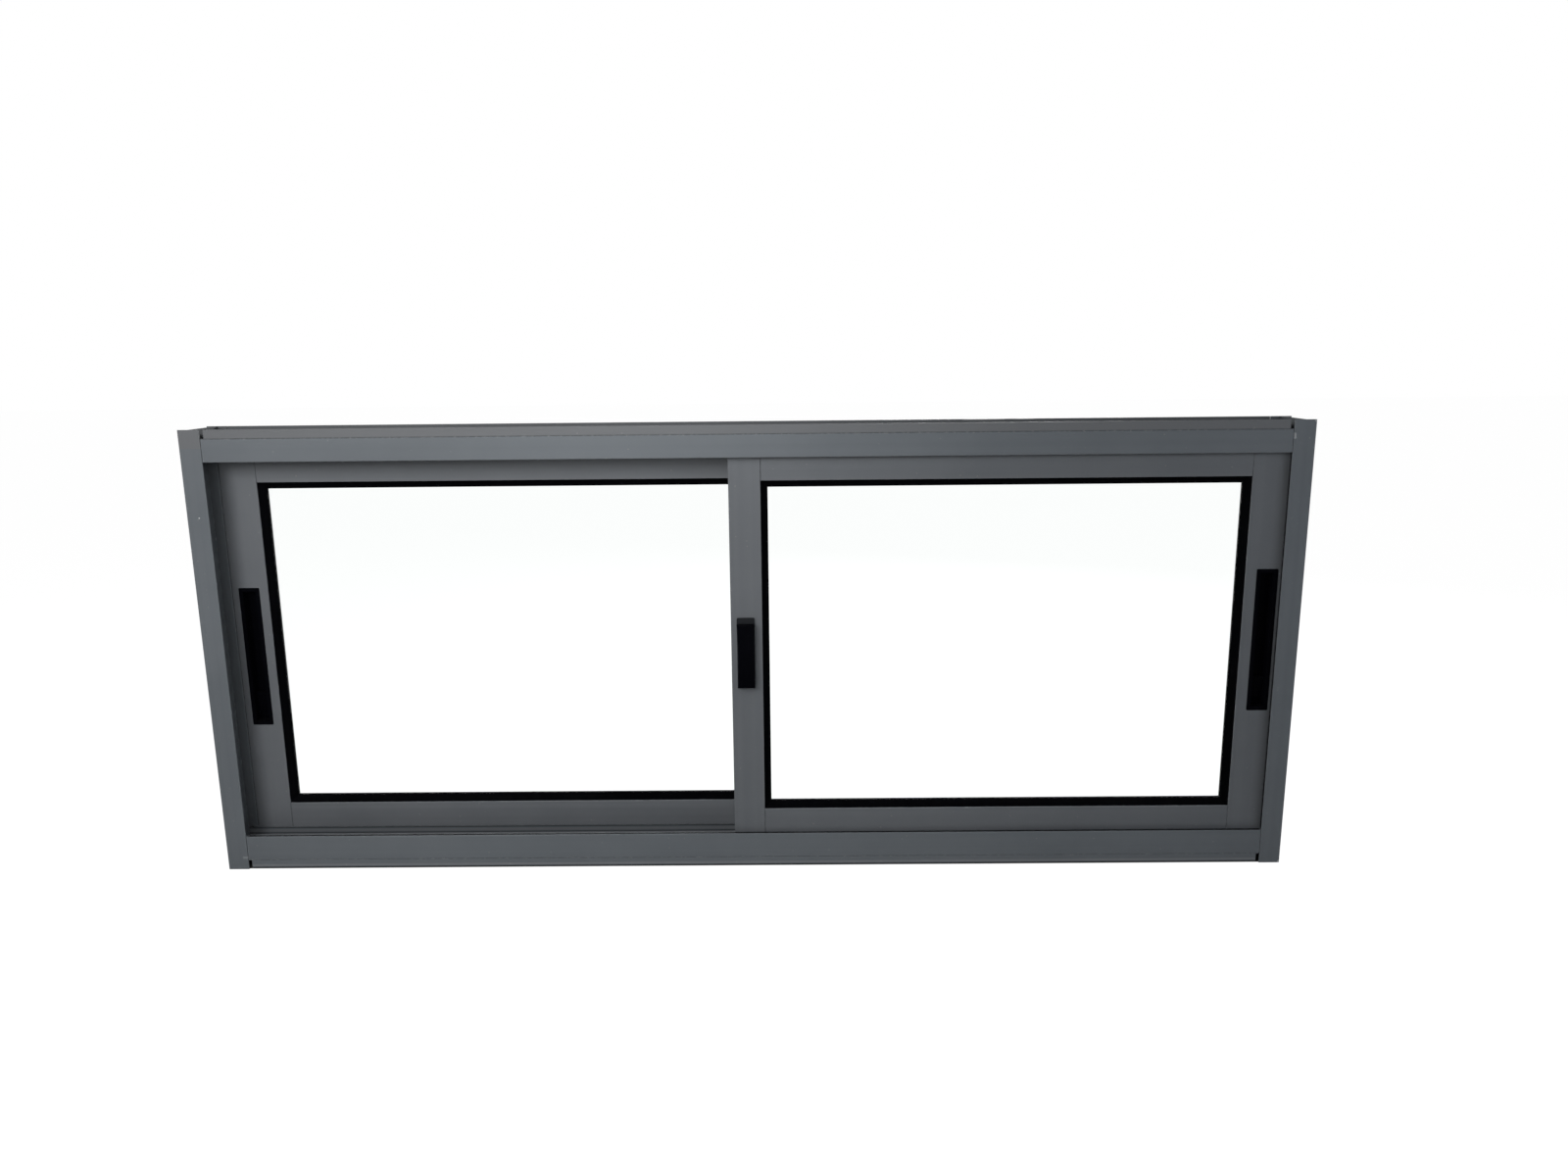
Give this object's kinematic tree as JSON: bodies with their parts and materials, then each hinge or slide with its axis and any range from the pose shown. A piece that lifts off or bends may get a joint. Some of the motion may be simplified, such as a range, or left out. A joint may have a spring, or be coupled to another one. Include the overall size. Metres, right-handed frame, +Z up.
{
  "type": "sliding window",
  "caption": "Aluminium sliding window, closed: extruded frame with tracks, glazed sashes on rollers, flush pulls and a latch on the meeting stile.",
  "frame": {"origin": "middle of the footprint, level with the feet of the jambs, 1.5 mm below the sill's underside", "axes": "+X to the right along the width, +Y from the front face to the back, +Z up"},
  "size_m": [1.2, 0.063, 0.5],
  "materials": {
    "frame_grey": "satin charcoal grey coating",
    "glass": "clear polished",
    "gasket": "matte black",
    "brush": "black pile",
    "carriage": "moulded",
    "wheel": "moulded",
    "guide": "moulded",
    "black_plastic": "fine satin",
    "latch_grey": "satin dark grey"
  },
  "bodies": {
    "root": {"left_jamb": "frame_grey", "right_jamb": "frame_grey", "head": "frame_grey", "sill": "frame_grey", "sill_front_seal": "brush", "sill_middle_seal": "brush", "head_front_seal": "brush", "head_middle_seal": "brush", "left_jamb_seal": "brush", "right_jamb_seal": "brush", "front_sash_lock_stile": "frame_grey", "front_sash_meeting_stile": "frame_grey", "front_sash_top_rail": "frame_grey", "front_sash_bottom_rail": "frame_grey", "front_sash_glass": "glass", "front_sash_gasket": "gasket", "front_sash_roller_carriage_left": "carriage", "front_sash_roller_carriage_right": "carriage", "front_sash_roller_wheel_left": "wheel", "front_sash_roller_wheel_right": "wheel", "front_sash_top_guide_left": "guide", "front_sash_top_guide_right": "guide", "front_sash_pull": "black_plastic", "front_sash_latch_trigger": "black_plastic", "rear_sash_lock_stile": "frame_grey", "rear_sash_meeting_stile": "frame_grey", "rear_sash_top_rail": "frame_grey", "rear_sash_bottom_rail": "frame_grey", "rear_sash_glass": "glass", "rear_sash_gasket": "gasket", "rear_sash_roller_carriage_left": "carriage", "rear_sash_roller_carriage_right": "carriage", "rear_sash_roller_wheel_left": "wheel", "rear_sash_roller_wheel_right": "wheel", "rear_sash_top_guide_left": "guide", "rear_sash_top_guide_right": "guide", "rear_sash_pull": "black_plastic", "rear_sash_latch_trigger": "black_plastic", "latch_base": "latch_grey", "latch_lever": "black_plastic"}
  },
  "joints": []
}
